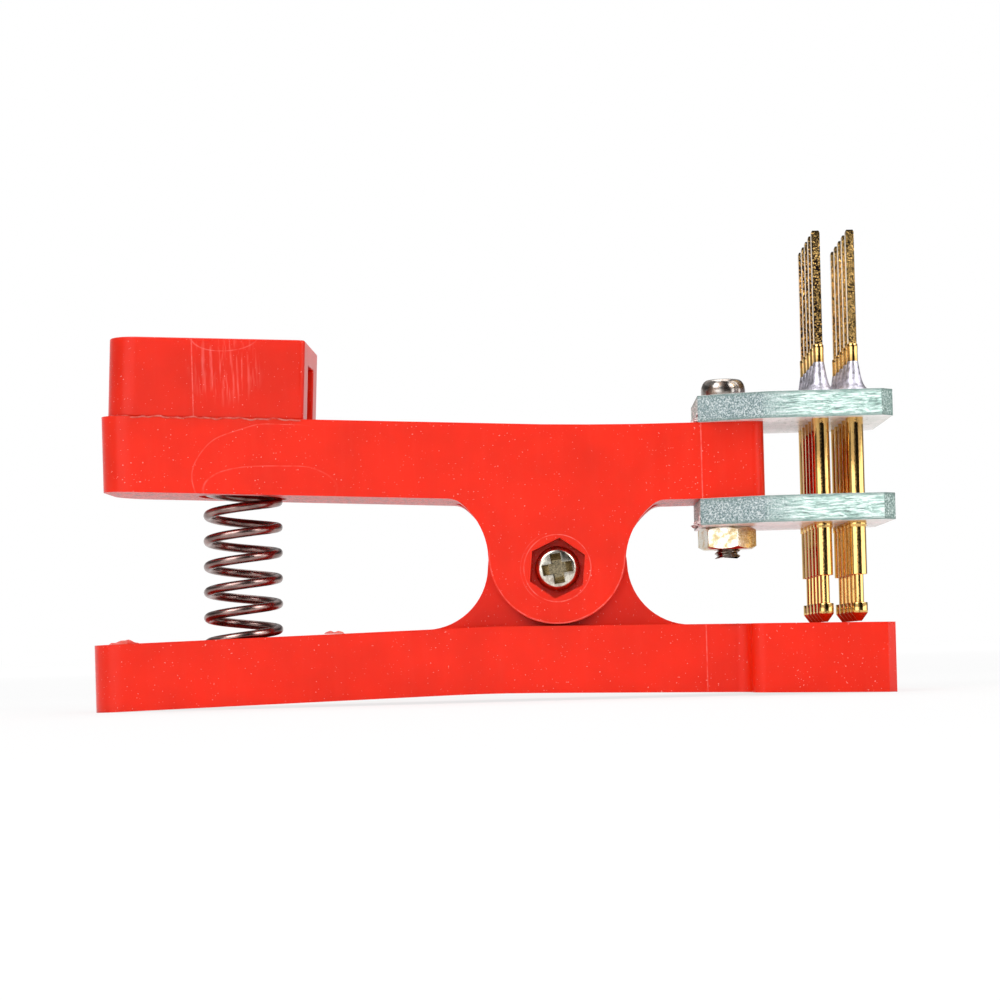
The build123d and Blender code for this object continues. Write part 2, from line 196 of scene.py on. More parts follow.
def leave_edit():
    bpy.ops.object.mode_set(mode="OBJECT")


def apply_place(piece):
    choose(piece)
    bpy.ops.object.transform_apply(location=True, rotation=True, scale=True)


def modified(piece, kind, **settings):
    """Adds a modifier, sets it and applies it."""
    choose(piece)
    bpy.ops.object.modifier_add(type=kind)
    modifier = piece.modifiers[-1]
    for setting, value in settings.items():
        setattr(modifier, setting, value)
    bpy.ops.object.modifier_apply(modifier=modifier.name)
    return piece


def deleted(piece):
    choose(piece)
    bpy.ops.object.delete()


def cut(piece, cutter, operation="DIFFERENCE"):
    """Joins, cuts or keeps a piece with another one, which is then deleted."""
    modified(piece, "BOOLEAN", operation=operation, object=cutter, solver="EXACT")
    deleted(cutter)
    return piece


def tidied(piece):
    """Merges doubles and turns the faces outwards."""
    edit(piece)
    bpy.ops.mesh.remove_doubles(threshold=1e-6)
    bpy.ops.mesh.normals_make_consistent(inside=False)
    leave_edit()
    return piece


def smoothed(piece, degrees):
    choose(piece)
    bpy.ops.object.shade_smooth_by_angle(angle=radians(degrees))
    return piece


def placed(piece, place, rotation=(0, 0, 0)):
    """Turns a piece and moves it to a place in millimetres, inside its mesh."""
    piece.rotation_euler = rotation
    piece.location = [part * MM for part in place]
    apply_place(piece)
    return piece


def copied(piece, name, offset):
    """Copy of a finished mesh with its own data, moved by an offset in millimetres."""
    choose(piece)
    bpy.ops.object.duplicate()
    return placed(name_piece(bpy.context.object, name), offset)


def turned(name, rings, sides, ring_shaped=False):
    """Upright round piece raised from a disc through rings of radius and height, or a closed ring."""
    (radius, height), *rest = rings
    piece = added(name, bpy.ops.mesh.primitive_circle_add, vertices=sides, radius=radius * MM,
                  fill_type="NOTHING" if ring_shaped else "NGON", location=(0, 0, height * MM))
    apply_place(piece)
    edit(piece)
    for next_radius, next_height in rest:
        rise = (0, 0, (next_height - height) * MM)
        bpy.ops.mesh.extrude_region_move(TRANSFORM_OT_translate={"value": rise})
        ratio = next_radius / radius
        bpy.ops.transform.resize(value=(ratio, ratio, 1), center_override=(0, 0, next_height * MM))
        radius, height = next_radius, next_height
    leave_edit()
    return tidied(piece)


def copy_of_node(node, name):
    """Copy of a CAD node with whole faces instead of loose triangles."""
    source = frame["nodes"][node]
    piece = bpy.data.objects.new(name, source.data.copy())
    bpy.context.scene.collection.objects.link(piece)
    name_piece(piece, name)
    edit(piece)
    bpy.ops.mesh.remove_doubles(threshold=1e-6)
    bpy.ops.mesh.dissolve_limited(angle_limit=radians(0.4))
    bpy.ops.mesh.normals_make_consistent(inside=False)
    leave_edit()
    return piece


def marked(piece, name, chosen=lambda middle_place, normal: True):
    """Marks the faces that a test on middle and normal picks, or all of them, for the material to read."""
    values = [float(chosen(face.center / MM, face.normal)) for face in piece.data.polygons]
    attribute = piece.data.attributes.new(name, "FLOAT", "FACE")
    attribute.data.foreach_set("value", values)
    return piece


def joined(piece, *others):
    """Adds other meshes to a piece."""
    choose(piece, *others)
    bpy.ops.object.join()
    return piece


def edge_rounded(piece, radius, segments=3):
    """Rounds every sharp edge and keeps the flat faces flat in shading."""
    choose(piece)
    bpy.ops.object.shade_smooth()
    modified(piece, "BEVEL", width=radius, segments=segments, limit_method="ANGLE",
             angle_limit=radians(28), use_clamp_overlap=True, miter_outer="MITER_ARC")
    return modified(piece, "WEIGHTED_NORMAL", mode="FACE_AREA", weight=60, keep_sharp=False)


def finished(piece, material, body, slot, *nodes):
    """Gives a piece its material and body, and hides the CAD nodes it stands for; slot is not used."""
    piece.data.materials.clear()
    piece.data.materials.append(material)
    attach(piece, body)
    if nodes:
        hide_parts(*nodes)
    return piece


# Materials
class Steps:
    """Procedural steps in one node tree."""

    def __init__(self, tree):
        self.tree = tree

    def step(self, kind, inputs=None, **settings):
        """Adds a node; a value in inputs is a number, a colour or another node's output."""
        node = self.tree.nodes.new(kind)
        for setting, value in settings.items():
            setattr(node, setting, value)
        for key, value in (inputs or {}).items():
            if isinstance(value, bpy.types.NodeSocket):
                self.tree.links.new(value, node.inputs[key])
            else:
                node.inputs[key].default_value = value
        return node

    def spread(self, value, low, high, to_low=0.0, to_high=1.0):
        """Maps a range of a value to another range, limited at both ends."""
        return self.step("ShaderNodeMapRange", {"Value": value, "From Min": low, "From Max": high,
                                                "To Min": to_low, "To Max": to_high}).outputs["Result"]

    def sum(self, operation, first, second=0.0):
        return self.step("ShaderNodeMath", {0: first, 1: second}, operation=operation).outputs["Value"]

    def times(self, first, second):
        return self.sum("MULTIPLY", first, second)

    def blend(self, factor, first, second, kind="MIX"):
        node = self.step("ShaderNodeMix", {0: factor, 6: first, 7: second}, data_type="RGBA", blend_type=kind)
        return node.outputs[2]

    def ramp(self, value, *stops):
        """Colours at places from 0 to 1."""
        node = self.step("ShaderNodeValToRGB", {"Fac": value})
        elements = node.color_ramp.elements
        while len(elements) < len(stops):
            elements.new(0.5)
        for element, (place, shade) in zip(elements, stops):
            element.position = place
            element.color = shade
        return node.outputs["Color"]

    def seen(self):
        """1 for camera, glossy and transmission rays, 0 for the rest."""
        rays = self.step("ShaderNodeLightPath").outputs
        shown = self.sum("MAXIMUM", rays["Is Camera Ray"], rays["Is Glossy Ray"])
        return self.sum("MAXIMUM", shown, rays["Is Transmission Ray"])


class Finish(Steps):
    """Material built up from procedural steps on object coordinates."""

    def __init__(self, name, **sockets):
        self.material = bpy.data.materials.new(name)
        self.material.use_nodes = True
        super().__init__(self.material.node_tree)
        self.shader = self.tree.nodes["Principled BSDF"]
        self.place = self.step("ShaderNodeTexCoord").outputs["Object"]
        for socket, value in sockets.items():
            self.shader.inputs[socket.replace("_", " ")].default_value = value

    def stretched(self, scale=(1, 1, 1), turn=(0, 0, 0), shift=(0, 0, 0)):
        return self.step("ShaderNodeMapping", {"Vector": self.place, "Location": shift, "Rotation": turn,
                                               "Scale": scale}).outputs["Vector"]

    def noise(self, scale, detail=3.0, roughness=0.5, place=None):
        """Noise with its size in grains per millimetre."""
        return self.step("ShaderNodeTexNoise", {"Vector": place or self.place, "Scale": scale / MM,
                                                "Detail": detail, "Roughness": roughness}).outputs["Fac"]

    def distance(self, scale=(1, 1, 1), shift=(0, 0, 0)):
        """Distance from a place, with each axis scaled."""
        return self.step("ShaderNodeVectorMath", {0: self.stretched(scale, shift=shift)},
                         operation="LENGTH").outputs["Value"]

    def axis(self, letter):
        return self.step("ShaderNodeSeparateXYZ", {0: self.place}).outputs[letter]

    def mark(self, name):
        """A mark that the piece's faces carry, 0 where they have none."""
        return self.step("ShaderNodeAttribute", attribute_name=name).outputs["Fac"]

    def outline(self, centre, radii, width, wander):
        """Thin oval line in the XZ plane that wanders a little, in millimetres."""
        scale = (1 / (radii[0] * MM), 0, 1 / (radii[1] * MM))
        shift = (-centre[0] / radii[0], 0, -centre[1] / radii[1])
        wander = self.spread(self.noise(0.16, 1.0), 0.3, 0.7, 1 - wander / min(radii), 1 + wander / min(radii))
        off = self.sum("ABSOLUTE", self.sum("SUBTRACT", self.distance(scale, shift), wander))
        return self.spread(off, 0.0, width / min(radii), 1.0, 0.0)

    def line(self, letter, place, width):
        """Thin line at one place along an axis, in millimetres."""
        off = self.sum("ABSOLUTE", self.sum("SUBTRACT", self.axis(letter), place * MM))
        return self.spread(off, 0.0, width * MM, 1.0, 0.0)

    def facing(self, letter):
        """The surface normal along one axis."""
        normal = self.step("ShaderNodeNewGeometry").outputs["Normal"]
        return self.step("ShaderNodeSeparateXYZ", {0: normal}).outputs[letter]

    def feed(self, socket, value):
        self.tree.links.new(value, self.shader.inputs[socket])

    def relief(self, height, strength, depth):
        """Adds fine relief, at most this many millimetres deep, on top of what is there."""
        node = self.step("ShaderNodeBump", {"Height": height, "Strength": strength, "Distance": depth * MM})
        old = self.shader.inputs["Normal"]
        if old.is_linked:
            self.tree.links.new(old.links[0].from_socket, node.inputs["Normal"])
        self.tree.links.new(node.outputs["Normal"], old)


def shade(colour_value, factor):
    """A colour made lighter or darker, with its alpha."""
    return tuple(min(1.0, part * factor) for part in colour_value) + (1.0,)


def mixed(first, second, share):
    """A colour part of the way to another, with its alpha."""
    return tuple(a + (b - a) * share for a, b in zip(first, second)) + (1.0,)


def moulded_plastic(name, base, lines, outlines=(), patch=None):
    """Red moulded plastic: cloudy colour, flow streaks, pale specks, mould lines and flash."""
    look = Finish(name, Roughness=0.3, Specular_IOR_Level=0.26, Subsurface_Weight=0.4,
                  Subsurface_Radius=(1.0, 0.1, 0.05), Subsurface_Scale=1.6 * MM)
    pale = mixed(base, (1.0, 0.55, 0.5), 0.55)
    front = look.spread(look.sum("ABSOLUTE", look.facing("Y")), 0.9, 0.97)
    # Faces that point down, which get painted shade below
    under = look.spread(look.facing("Z"), -0.7, -0.9)
    clouds = look.noise(0.22, 3.0)
    streaks = look.noise(1.6, 4.0, place=look.stretched((1, 1, 0.1), (0, radians(8), 0)))
    tone = look.blend(look.spread(clouds, 0.3, 0.7), shade(base, 0.9), shade(base, 1.05))
    tone = look.blend(look.spread(streaks, 0.52, 0.75, 0.0, 0.12), tone, mixed(base, (1, 0.4, 0.3), 0.08))
    broken = look.spread(look.noise(1.5, 4.0, 0.6), 0.36, 0.6, 0.15, 1.0)
    drawn = look.mark("flash")
    for letter, place in lines:
        drawn = look.sum("MAXIMUM", drawn, look.times(look.line(letter, place, 0.06), front))
    for centre, radii, wander, strength, letter, until in outlines:
        fade = look.spread(look.axis(letter), (until - 2) * MM, until * MM, strength, 0.0)
        oval = look.times(look.outline(centre, radii, 0.055, wander), fade)
        drawn = look.sum("MAXIMUM", drawn, look.times(oval, front))
    drawn = look.times(drawn, broken)
    tone = look.blend(look.times(drawn, 0.55), tone, pale)
    if patch:
        (x, z), (reach_x, reach_z) = patch
        inside = look.distance((1 / (reach_x * MM), 0, 1 / (reach_z * MM)), (-x / reach_x, 0, -z / reach_z))
        worn = look.noise(4.0, 3.0, 0.6, look.stretched((1, 1, 0.08), (0, radians(4), 0)))
        rubbed = look.times(look.spread(inside, 0.5, 1.1, 1.0, 0.0), look.spread(worn, 0.5, 0.68))
        tone = look.blend(look.times(rubbed, look.times(front, 0.4)), tone, pale)
    specks = look.noise(7.0, 1.0, 0.3)
    where = look.spread(look.noise(0.35, 2.0), 0.42, 0.62, 0.35, 1.0)
    dots = look.times(look.spread(specks, 0.735, 0.78), where)
    tone = look.blend(look.times(dots, 0.7), tone, mixed(base, (1, 0.75, 0.7), 0.7))
    # Painted shade: faces that point down are darkened towards a third of the base colour, in ragged patches
    ragged = look.noise(2.4, 5.0, 0.65, place=look.stretched((1, 0.5, 1)))
    tone = look.blend(look.times(under, look.spread(ragged, 0.40, 0.52, 0.75, 0.0)), tone,
                      shade(base, 0.35))
    look.feed("Base Color", tone)
    look.relief(clouds, 0.25, 0.12)
    look.relief(look.noise(3.0, 3.0), 0.15, 0.03)
    look.relief(look.times(under, ragged), 0.7, 0.25)
    look.relief(drawn, 0.6, 0.03)
    return look.material


def dark_spring_steel(name, base):
    """Dark oil-hardened wire with a brown bloom and darker drawn streaks."""
    look = Finish(name, Metallic=1.0, Roughness=0.18)
    bloom = look.noise(0.8, 4.0)
    drawn = look.noise(6.0, 3.0, place=look.stretched((0.5, 0.5, 2.0)))
    tone = look.blend(look.spread(bloom, 0.35, 0.65), shade(base, 0.5), shade(base, 0.95))
    tone = look.blend(look.spread(drawn, 0.5, 0.7, 0.0, 0.35), tone, (0.10, 0.05, 0.045, 1.0))
    look.feed("Base Color", tone)
    look.feed("Roughness", look.spread(drawn, 0.3, 0.7, 0.2, 0.28))
    look.relief(drawn, 0.08, 0.01)
    return look.material


def turned_steel(name, base, warm, recess=(0.16, 0.12, 0.05)):
    """Plated steel with fine grain, brown patches and painted shade in the cross recess."""
    look = Finish(name, Metallic=1.0, Roughness=0.2)
    patches = look.noise(1.3, 4.0, 0.6)
    grain = look.noise(12.0, 3.0)
    tone = look.blend(look.spread(patches, 0.46, 0.60, 0.0, 0.85), shade(base, 1.0), shade(warm, 1.0))
    tone = look.blend(look.spread(grain, 0.4, 0.7, 0.0, 0.3), tone, shade(base, 0.45))
    # Painted shade: the marked cross recess gets a dark brown colour instead of the steel's own
    recess_shade = look.blend(look.spread(grain, 0.35, 0.65), shade(recess, 0.8), shade(recess, 1.9))
    tone = look.blend(look.mark("recess"), tone, recess_shade)
    look.feed("Base Color", tone)
    look.feed("Roughness", look.spread(patches, 0.4, 0.7, 0.12, 0.34))
    look.relief(grain, 0.15, 0.012)
    look.relief(patches, 0.15, 0.05)
    return look.material


def glass_laminate(name, base):
    """Pale green glass-epoxy: woven faces, streaky sawn edges, and frosted grey slanting cuts."""
    look = Finish(name, IOR=1.5)
    weave_x = look.noise(1.6, 2.0, place=look.stretched((1, 0.1, 1)))
    weave_y = look.noise(1.6, 2.0, place=look.stretched((0.1, 1, 1)))
    face = look.blend(look.spread(look.sum("ADD", weave_x, weave_y), 0.8, 1.2),
                      mixed(base, (0.95, 0.92, 0.92), 0.7), mixed(base, (1.0, 0.98, 0.98), 0.95))
    flecks = look.noise(3.0, 1.0, 0.3)
    face = look.blend(look.spread(flecks, 0.70, 0.76, 0.0, 0.7), face, (0.10, 0.09, 0.08, 1.0))
    wander = look.times(look.noise(0.7, 2.0), 0.5 * MM)
    waves = look.step("ShaderNodeVectorMath", {0: look.stretched((0.25, 0.25, 2.2)), 1: wander},
                      operation="ADD").outputs["Vector"]
    layers = look.noise(4.0, 5.0, 0.7, place=waves)
    teal, pale = shade(base, 0.36), mixed(base, (0.88, 0.96, 0.94), 0.9)
    edge = look.ramp(layers, (0.36, teal), (0.44, shade(base, 0.8)), (0.50, shade(base, 1.1)), (0.56, pale))
    frost = look.noise(8.0, 3.0, 0.7)
    grey = look.ramp(frost, (0.38, (0.09, 0.16, 0.16, 1.0)), (0.50, (0.25, 0.33, 0.34, 1.0)),
                     (0.64, (0.66, 0.72, 0.72, 1.0)))
    corner = look.ramp(frost, (0.36, shade(base, 0.3)), (0.52, shade(base, 0.55)), (0.66, pale))
    grey = look.blend(look.spread(look.axis("X"), (BOARD_SCREW_X + 8) * MM, (BOARD_SCREW_X + 9) * MM), grey, corner)
    slant = look.sum("ABSOLUTE", look.facing("X"))
    across = look.sum("ABSOLUTE", look.facing("Y"))
    slanted = look.times(look.spread(slant, 0.10, 0.16), look.spread(across, 0.10, 0.16))
    edge = look.blend(slanted, edge, grey)
    for height in (UPPER_BOARD_TOP, UPPER_BOARD_BASE, LOWER_BOARD_BASE + 2.0, LOWER_BOARD_BASE):
        edge = look.blend(look.times(look.line("Z", height, 0.3), 0.9), edge, teal)
    flat = look.spread(look.sum("ABSOLUTE", look.facing("Z")), 0.55, 0.8)
    tone = look.blend(flat, edge, face)
    look.feed("Roughness", look.spread(flat, 0.0, 1.0, 0.5, 0.24))
    torn = look.ramp(look.noise(5.0, 2.0), (0.42, (0.16, 0.05, 0.05, 1.0)), (0.52, (0.80, 0.68, 0.66, 1.0)))
    look.feed("Base Color", look.blend(look.mark("torn"), tone, torn))
    look.relief(look.sum("ADD", layers, frost), 0.4, 0.04)
    return look.material


def plated_gold(name, base):
    """Gold plate with drawn streaks along the pin, brown patches, pits, and a painted dark reflection in speckles
    on faces that point to the front, strongest on the tails.
    """
    look = Finish(name, Metallic=1.0, Roughness=0.08)
    drawn = look.noise(9.0, 3.0, place=look.stretched((1, 1, 0.04)))
    patches = look.noise(1.3, 4.0, 0.6, place=look.stretched((1, 1, 0.3)))
    pits = look.noise(9.0, 3.0, 0.6, place=look.stretched((1, 1, 0.45)))
    tone = look.blend(look.spread(drawn, 0.35, 0.7), shade(base, 0.75), shade(base, 1.1))
    tone = look.blend(look.spread(patches, 0.56, 0.70, 0.0, 0.5), tone, (0.32, 0.16, 0.05, 1.0))
    tone = look.blend(look.spread(pits, 0.64, 0.70, 0.0, 0.7), tone, (0.06, 0.035, 0.015, 1.0))
    # Painted dark reflection: faces that point to the front are speckled near-black, fully on the tails and at
    # three quarters below them, denser in the left column of probes
    front = look.spread(look.facing("Y"), -0.955, -0.985)
    tail = look.spread(look.axis("Z"), NECK_TOP * MM, (NECK_TOP + 0.1) * MM)
    grains = look.noise(7.0, 2.0, 0.6)
    row = look.spread(look.axis("X"), (BOARD_SCREW_X + 7.5) * MM, (BOARD_SCREW_X + 8.5) * MM, -0.05, 0.02)
    dark_reflection_speckle = look.spread(look.sum("ADD", grains, row), 0.42, 0.5, 1.0, 0.0)
    painted_dark_reflection = look.times(front, look.times(dark_reflection_speckle, look.sum("MAXIMUM", tail, 0.75)))
    look.feed("Base Color", look.blend(painted_dark_reflection, tone, (0.035, 0.02, 0.015, 1.0)))
    look.feed("Roughness", look.spread(patches, 0.4, 0.7, 0.05, 0.14))
    look.relief(drawn, 0.12, 0.008)
    look.relief(pits, 0.2, 0.012)
    look.relief(look.times(grains, look.times(front, tail)), 0.9, 0.06)
    return look.material


def dull_solder(name, base):
    """Grey solder with a mottled skin and darker pits."""
    look = Finish(name, Metallic=0.85, Roughness=0.36)
    skin = look.noise(3.2, 5.0, 0.6)
    pits = look.noise(9.0, 2.0)
    tone = look.blend(look.spread(skin, 0.38, 0.62), shade(base, 0.6), shade(base, 1.2))
    tone = look.blend(look.spread(pits, 0.62, 0.72, 0.0, 0.6), tone, shade(base, 0.3))
    look.feed("Base Color", tone)
    look.feed("Roughness", look.spread(skin, 0.3, 0.7, 0.28, 0.5))
    look.relief(skin, 0.4, 0.06)
    return look.material


def material_for(kind):
    """Each finish is made once and then shared."""
    colours = bpy.context.scene.clamp_colours
    mould_line = ("X", BOARD_SCREW_X - 2.05)
    upper_marks = ((PIVOT, (2.52, 2.52), 0.03, 1.0, "X", 30), (PIVOT, (2.8, 2.75), 0.08, 0.5, "X", PIVOT[0] - 0.6),
                   ((PIVOT[0], PIVOT[1] + 0.97), (5.06, 5.06), 0.03, 0.9, "Z", PIVOT[1] + 2.0),
                   ((PIVOT[0] - 21.0, 17.1), (6.28, 4.2), 0.4, 0.6, "X", PIVOT[0] - 18),
                   ((PIVOT[0] - 21.6, 16.3), (4.8, 1.9), 0.2, 0.5, "X", PIVOT[0] - 16))
    guide_arc = ((PIVOT[0] - 24.4, 28.3), (2.7, 1.5), 0.15, 0.6, "X", PIVOT[0] - 21)
    makers = {
        "lower plastic": (moulded_plastic, colours.red_plastic, [mould_line]),
        "upper plastic": (moulded_plastic, colours.red_plastic, [mould_line], upper_marks),
        "guide plastic": (moulded_plastic, colours.guide_plastic, [("X", PIVOT[0] - 26.9)], [guide_arc],
                          ((PIVOT[0] - 24.4, 25.6), (2.8, 2.8))),
        "spring steel": (dark_spring_steel, colours.spring_steel),
        "screw steel": (turned_steel, colours.screw_steel, (0.20, 0.12, 0.08)),
        # The last colour of the pivot steel is the painted shade in its cross recess
        "pivot steel": (turned_steel, colours.nut_steel, (0.42, 0.34, 0.27), (0.30, 0.25, 0.16)),
        "nut steel": (turned_steel, colours.nut_steel, (0.62, 0.45, 0.18)),
        "board laminate": (glass_laminate, colours.laminate),
        "plated gold": (plated_gold, colours.gold),
        "dull solder": (dull_solder, colours.solder),
    }
    name = kind.replace(" ", "_") + "_finish"
    make, *values = makers[kind]
    return bpy.data.materials.get(name) or make(name, *values)


# Pieces
def flash_ridge(start, end, height):
    """Low ragged ridge of moulding flash between two places, in millimetres."""
    middle_place = (Vector(start) + Vector(end)) / 2 * MM
    span = (end[0] - start[0]) * MM
    piece = added("flash", bpy.ops.mesh.primitive_grid_add, x_subdivisions=14, y_subdivisions=2, size=1.0,
                  location=middle_place)
    piece.scale = (span, 0.16 * MM, 1)
    apply_place(piece)
    edit(piece)
    bpy.ops.mesh.extrude_region_move(TRANSFORM_OT_translate={"value": (0, 0, 0.1 * MM)})
    leave_edit()
    crest = middle_place.z + 0.05 * MM
    for vertex in piece.data.vertices:
        if vertex.co.z > crest:
            along = (vertex.co.x - start[0] * MM) / span
            wave = 0.7 + 0.2 * sin(along * 9 + start[0]) + 0.1 * sin(along * 19 + 1.3)
            rise = wave * sin(pi * min(max(along, 0.0), 1.0)) ** 0.5
            vertex.co.z = middle_place.z + max(0.02, rise * height) * MM
            vertex.co.y = middle_place.y + (vertex.co.y - middle_place.y) * 0.4
    return marked(smoothed(tidied(piece), 40), "flash")


class DressLowerJaw(Operator):
    """Rounds the edges of the lower jaw and gives it its red plastic"""
    bl_idname = "clamp.lower_jaw"
    bl_label = "Lower jaw"

    def execute(self, context):
        piece = copy_of_node("lower_jaw", "lower_jaw_body")
        edge_rounded(piece, context.scene.clamp_sizes.plastic_rounding)
        joined(piece, *[flash_ridge((start, BODY_FRONT, top), (end, BODY_FRONT, top + 0.02), height)
                        for start, end, top, height in FLASH])
        finished(piece, material_for("lower plastic"), "lower_arm", "lower_jaw_plastic", "lower_jaw")
        return {"FINISHED"}


class DressUpperJaw(Operator):
    """Rounds the edges of the upper jaw and gives it its red plastic"""
    bl_idname = "clamp.upper_jaw"
    bl_label = "Upper jaw"

    def execute(self, context):
        piece = copy_of_node("upper_jaw", "upper_jaw_body")
        edge_rounded(piece, context.scene.clamp_sizes.plastic_rounding)
        finished(piece, material_for("upper plastic"), "upper_arm", "upper_jaw_plastic", "upper_jaw")
        return {"FINISHED"}


class DressCableGuide(Operator):
    """Rounds the edges of the cable guide on the handle"""
    bl_idname = "clamp.cable_guide"
    bl_label = "Cable guide"

    def execute(self, context):
        piece = copy_of_node("cable_guide", "cable_guide_body")
        low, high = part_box("cable_guide")
        spots = [vertex.co / MM for vertex in piece.data.vertices]
        left = min(spot.z for spot in spots if spot.x < low.x / MM + 0.6)
        right = min(spot.z for spot in spots if spot.x > high.x / MM - 0.6)
        edge_rounded(piece, context.scene.clamp_sizes.plastic_rounding)
        seam = []
        for side in (-1, 1):
            points = []
            for step in range(91):
                share = step / 90
                wave = 0.05 * sin(share * 31) + 0.04 * sin(share * 73 + 1) + 0.02 * sin(share * 141)
                height = left + (right - left) * share - 0.03 + wave
                along = SEAM_START + SEAM_LENGTH * share
                bend = max(0.0, GUIDE_CORNER - along)
                reach = SEAM_REACH - GUIDE_CORNER + (GUIDE_CORNER ** 2 - bend ** 2) ** 0.5
                points.append((low.x + along * MM, side * reach * MM, height * MM))
            bead = wire_along("seam", points, SEAM_DIAMETER * MM, 1)
            seam.append(marked(smoothed(bead, 60), "flash"))
        joined(piece, *seam)
        finished(piece, material_for("guide plastic"), "upper_arm", "cable_guide_plastic", "cable_guide")
        return {"FINISHED"}


def coil_points(foot, crown, radius, wire, pitch, low_left, steps):
    """Centre line of a spring with closed ends, whose left side passes through one height."""
    base, top = foot[1] + wire / 2, crown[1] - wire / 2
    turns_up = (top - base - 2 * wire) / pitch
    points = []
    total = turns_up + 2
    first = pi + 2 * pi * ((base + wire - low_left) / pitch % 1.0)
    for number in range(int(total * steps) + 1):
        turn = number / steps
        if turn < 1:
            height = base + wire * turn
        elif turn > total - 1:
            height = top - wire * (total - turn)
        else:
            height = base + wire + pitch * (turn - 1)
        share = (height - foot[1]) / (crown[1] - foot[1])
        angle = first + 2 * pi * (turn - 1)
        x = foot[0] + (crown[0] - foot[0]) * share + radius * cos(angle)
        points.append((x * MM, radius * sin(angle) * MM, height * MM))
    return points


def wire_along(name, points, diameter, sides):
    """Round wire through points, as a mesh."""
    deselect_all()
    bpy.ops.curve.primitive_nurbs_path_add()
    piece = name_piece(bpy.context.object, name)
    spline = piece.data.splines[0]
    spline.points.add(len(points) - len(spline.points))
    for point, place in zip(spline.points, points):
        point.co = (*place, 1)
    spline.order_u = 3
    spline.use_endpoint_u = True
    spline.resolution_u = 1
    piece.data.bevel_depth = diameter / 2
    piece.data.bevel_resolution = sides
    piece.data.use_fill_caps = True
    piece.location = (0, 0, 0)
    bpy.ops.object.convert(target="MESH")
    apply_place(piece)
    return tidied(piece)


class MakeMainSpring(Operator):
    """Winds the main spring between the handles"""
    bl_idname = "clamp.main_spring"
    bl_label = "Main spring"

    def execute(self, context):
        sizes = context.scene.clamp_sizes
        wire = sizes.spring_wire / MM
        radius = (sizes.spring_outer / MM - wire) / 2
        points = coil_points(SPRING_FOOT, SPRING_CROWN, radius, wire, sizes.spring_pitch / MM, low_left=10.82,
                             steps=40)
        piece = wire_along("main_spring_coil", points, sizes.spring_wire, 5)
        smoothed(piece, 50)
        piece.data.materials.append(material_for("spring steel"))
        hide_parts("main_spring")
        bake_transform(piece)
        return {"FINISHED"}


def threaded_rod(name, radius, depth, pitch, length_mm):
    """Upright screw thread from the origin upwards, with flat ends."""
    piece = added(name, bpy.ops.mesh.primitive_plane_add, size=MM)
    edit(piece)
    bpy.ops.mesh.merge(type="CENTER")
    bpy.ops.transform.translate(value=((radius - depth) * MM, 0, -pitch * 1.2 * MM))
    for out, up in ((depth, 0.42), (0, 0.1), (-depth, 0.42), (0, 0.06)):
        move = (out * MM, 0, up * pitch * MM)
        bpy.ops.mesh.extrude_vertices_move(TRANSFORM_OT_translate={"value": move})
    leave_edit()
    turns = int(length_mm / pitch) + 3
    modified(piece, "SCREW", screw_offset=pitch * MM, iterations=turns, steps=20, render_steps=20,
             axis="Z", angle=2 * pi)
    edit(piece)
    bpy.ops.mesh.remove_doubles(threshold=2e-6)
    bpy.ops.mesh.bisect(plane_co=(0, 0, 0), plane_no=(0, 0, -1), use_fill=True, clear_outer=True)
    bpy.ops.mesh.select_all(action="SELECT")
    bpy.ops.mesh.bisect(plane_co=(0, 0, length_mm * MM), plane_no=(0, 0, 1), use_fill=True, clear_outer=True)
    bpy.ops.mesh.select_all(action="SELECT")
    bpy.ops.mesh.normals_make_consistent(inside=False)
    leave_edit()
    return piece


def cross_cutter(name, span, slot, depth, top):
    """Tapered cross that sinks the driver recess, with its top above the head."""
    arms = []
    for turn in (0, pi / 2):
        arm = added(name, bpy.ops.mesh.primitive_cube_add, size=MM, location=(0, 0, (top - depth / 2 + 0.25) * MM))
        arm.scale = (span, slot, depth + 0.5)
        apply_place(arm)
        edit(arm, whole=False)
        bpy.ops.mesh.select_all(action="DESELECT")
        leave_edit()
        low = (top - depth) * MM
        for vertex in arm.data.vertices:
            vertex.select = abs(vertex.co.z - low) < 1e-6
        edit(arm, whole=False)
        bpy.ops.transform.resize(value=(0.45, 0.7, 1), center_override=(0, 0, low))
        leave_edit()
        arms.append(placed(arm, (0, 0, 0), (0, 0, turn)))
    return cut(arms[0], arms[1], "UNION")


def pan_screw(name, shank_length, recess_turn, sizes):
    """Upright cross-recess screw, its shank from the origin down and its head up."""
    rings = [(0.8, -0.1), (1.48, 0.0), (1.58, 0.08), (1.66, 0.26), (1.70, 0.50), (1.70, 0.80), (1.66, 1.08),
             (1.56, 1.32), (1.44, 1.48), (1.32, 1.57), (1.22, HEAD_HEIGHT), (0.6, HEAD_HEIGHT)]
    head = turned(name, rings, 40)
    recess = cross_cutter("recess", span=2.85, slot=0.90, depth=0.85, top=HEAD_HEIGHT)
    cut(head, placed(recess, (0, 0, 0), (0, 0, radians(recess_turn))))
    shank = threaded_rod("shank", 0.99, sizes.thread_depth / MM, sizes.thread_pitch / MM, shank_length)
    cut(head, placed(shank, (0, 0, -shank_length)), "UNION")
    tidied(head)
    # Marks the cross recess, where the steel finish paints shade
    return marked(head, "recess", lambda place, normal: hypot(place.x, place.y) < 1.28 and 0.5 < place.z < 1.58)


